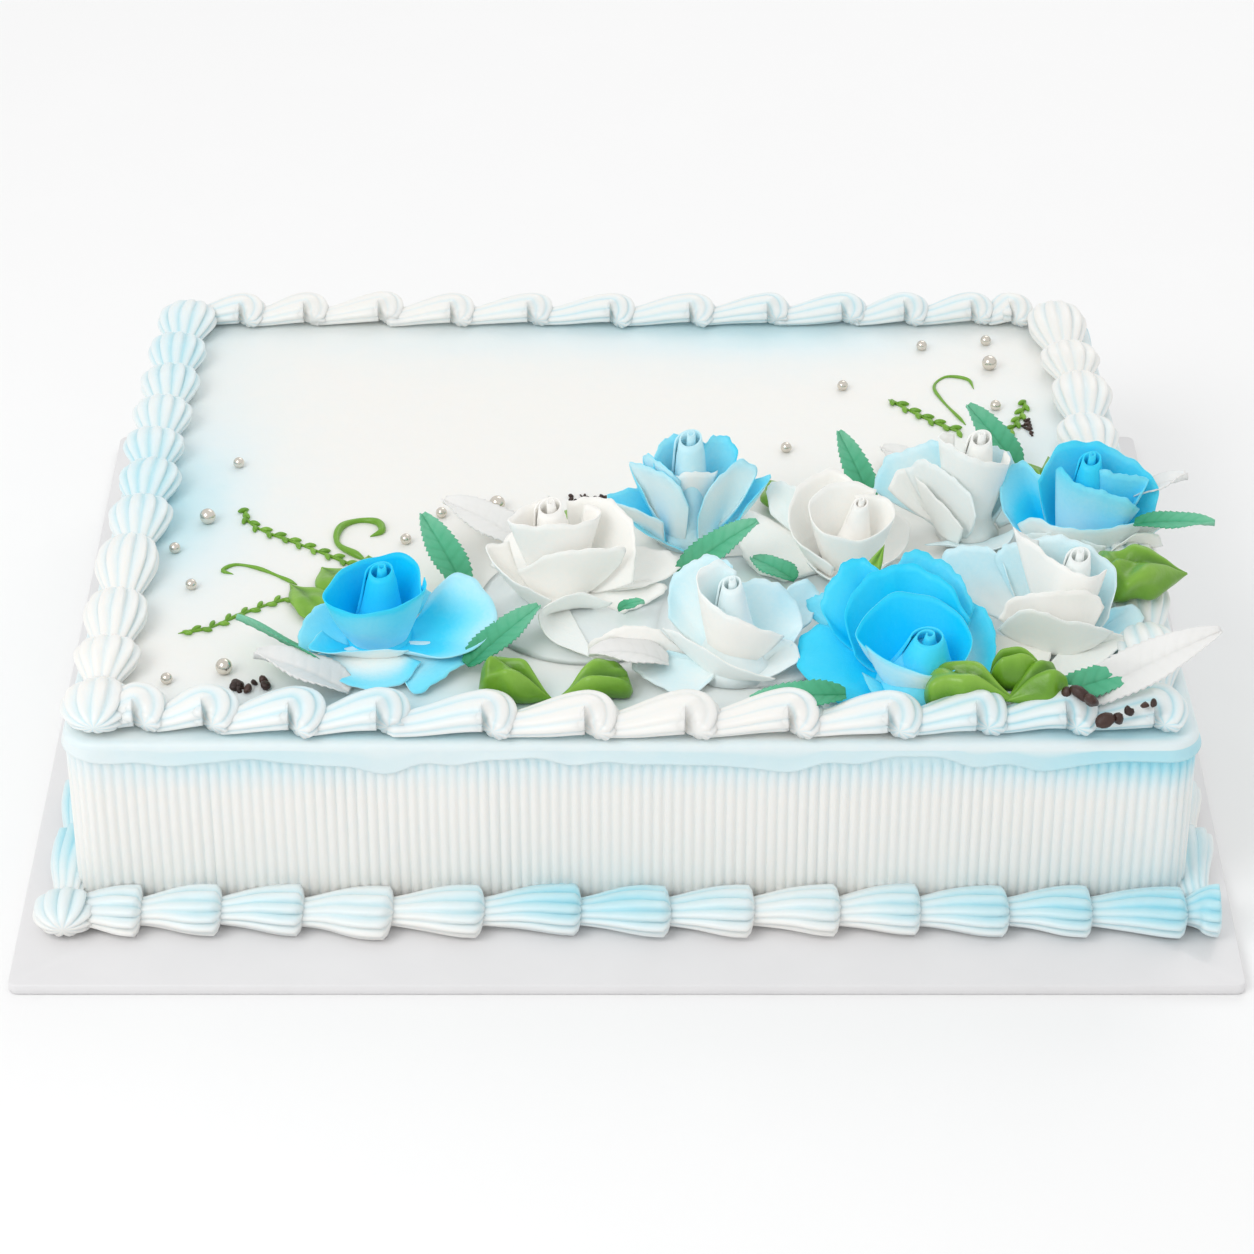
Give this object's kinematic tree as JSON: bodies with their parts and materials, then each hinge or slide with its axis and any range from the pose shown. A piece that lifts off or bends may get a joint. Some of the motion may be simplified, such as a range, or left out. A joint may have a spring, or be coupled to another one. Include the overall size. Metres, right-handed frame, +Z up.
{
  "type": "rose-decorated layer cake",
  "caption": "Rectangular layer cake with combed icing, piped star-shell borders, sugar-paste roses, leaves, vines and pearls, on its board.",
  "frame": {"origin": "centre of the board's underside", "axes": "+Z up from the board, -Y towards the viewer at the cake's front side, +X along its long side"},
  "size_m": [0.4116, 0.358, 0.117],
  "materials": {
    "board_white": "glossy white paper over board",
    "cream_icing": "soft satin whipped icing, airbrushed pale cyan",
    "rose_blue": "satin piped cream, airbrushed bright blue",
    "rose_pale_blue": "satin piped cream, airbrushed light blue",
    "rose_white": "satin piped cream",
    "leaf_teal": "satin leaf with a darker foot",
    "leaf_white": "matte thin sugar leaf",
    "leaf_green": "glossy piped icing",
    "pearl_silver": "polished sugar pearl",
    "crumb_brown": "rough dark cookie crumb"
  },
  "bodies": {
    "root": {"board": "board_white", "border_low_back": "cream_icing", "border_low_front": "cream_icing", "border_low_left": "cream_icing", "border_low_right": "cream_icing", "border_top_back": "cream_icing", "border_top_front": "cream_icing", "border_top_left": "cream_icing", "border_top_right": "cream_icing", "cake_body": "cream_icing", "cream_mound": "cream_icing", "leaf_pale_1": "leaf_white", "leaf_pale_2": "leaf_white", "leaf_pale_3": "leaf_white", "leaf_pale_4": "leaf_white", "leaf_pale_5": "leaf_white", "leaf_pale_6": "leaf_white", "leaf_piped_1": "leaf_green", "leaf_piped_10": "leaf_green", "leaf_piped_11": "leaf_green", "leaf_piped_12": "leaf_green", "leaf_piped_13": "leaf_green", "leaf_piped_14": "leaf_green", "leaf_piped_15": "leaf_green", "leaf_piped_16": "leaf_green", "leaf_piped_17": "leaf_green", "leaf_piped_18": "leaf_green", "leaf_piped_2": "leaf_green", "leaf_piped_3": "leaf_green", "leaf_piped_4": "leaf_green", "leaf_piped_5": "leaf_green", "leaf_piped_6": "leaf_green", "leaf_piped_7": "leaf_green", "leaf_piped_8": "leaf_green", "leaf_piped_9": "leaf_green", "leaf_teal_1": "leaf_teal", "leaf_teal_10": "leaf_teal", "leaf_teal_11": "leaf_teal", "leaf_teal_2": "leaf_teal", "leaf_teal_3": "leaf_teal", "leaf_teal_4": "leaf_teal", "leaf_teal_5": "leaf_teal", "leaf_teal_6": "leaf_teal", "leaf_teal_7": "leaf_teal", "leaf_teal_8": "leaf_teal", "leaf_teal_9": "leaf_teal", "rose_big_blue": "rose_blue", "rose_centre_white": "rose_white", "rose_front_white": "rose_white", "rose_left_blue": "rose_blue", "rose_right_blue": "rose_blue", "rose_right_white": "rose_white", "rose_spiral_white": "rose_white", "rose_upper_blue": "rose_pale_blue", "rose_upper_white": "rose_white"}
  },
  "joints": []
}
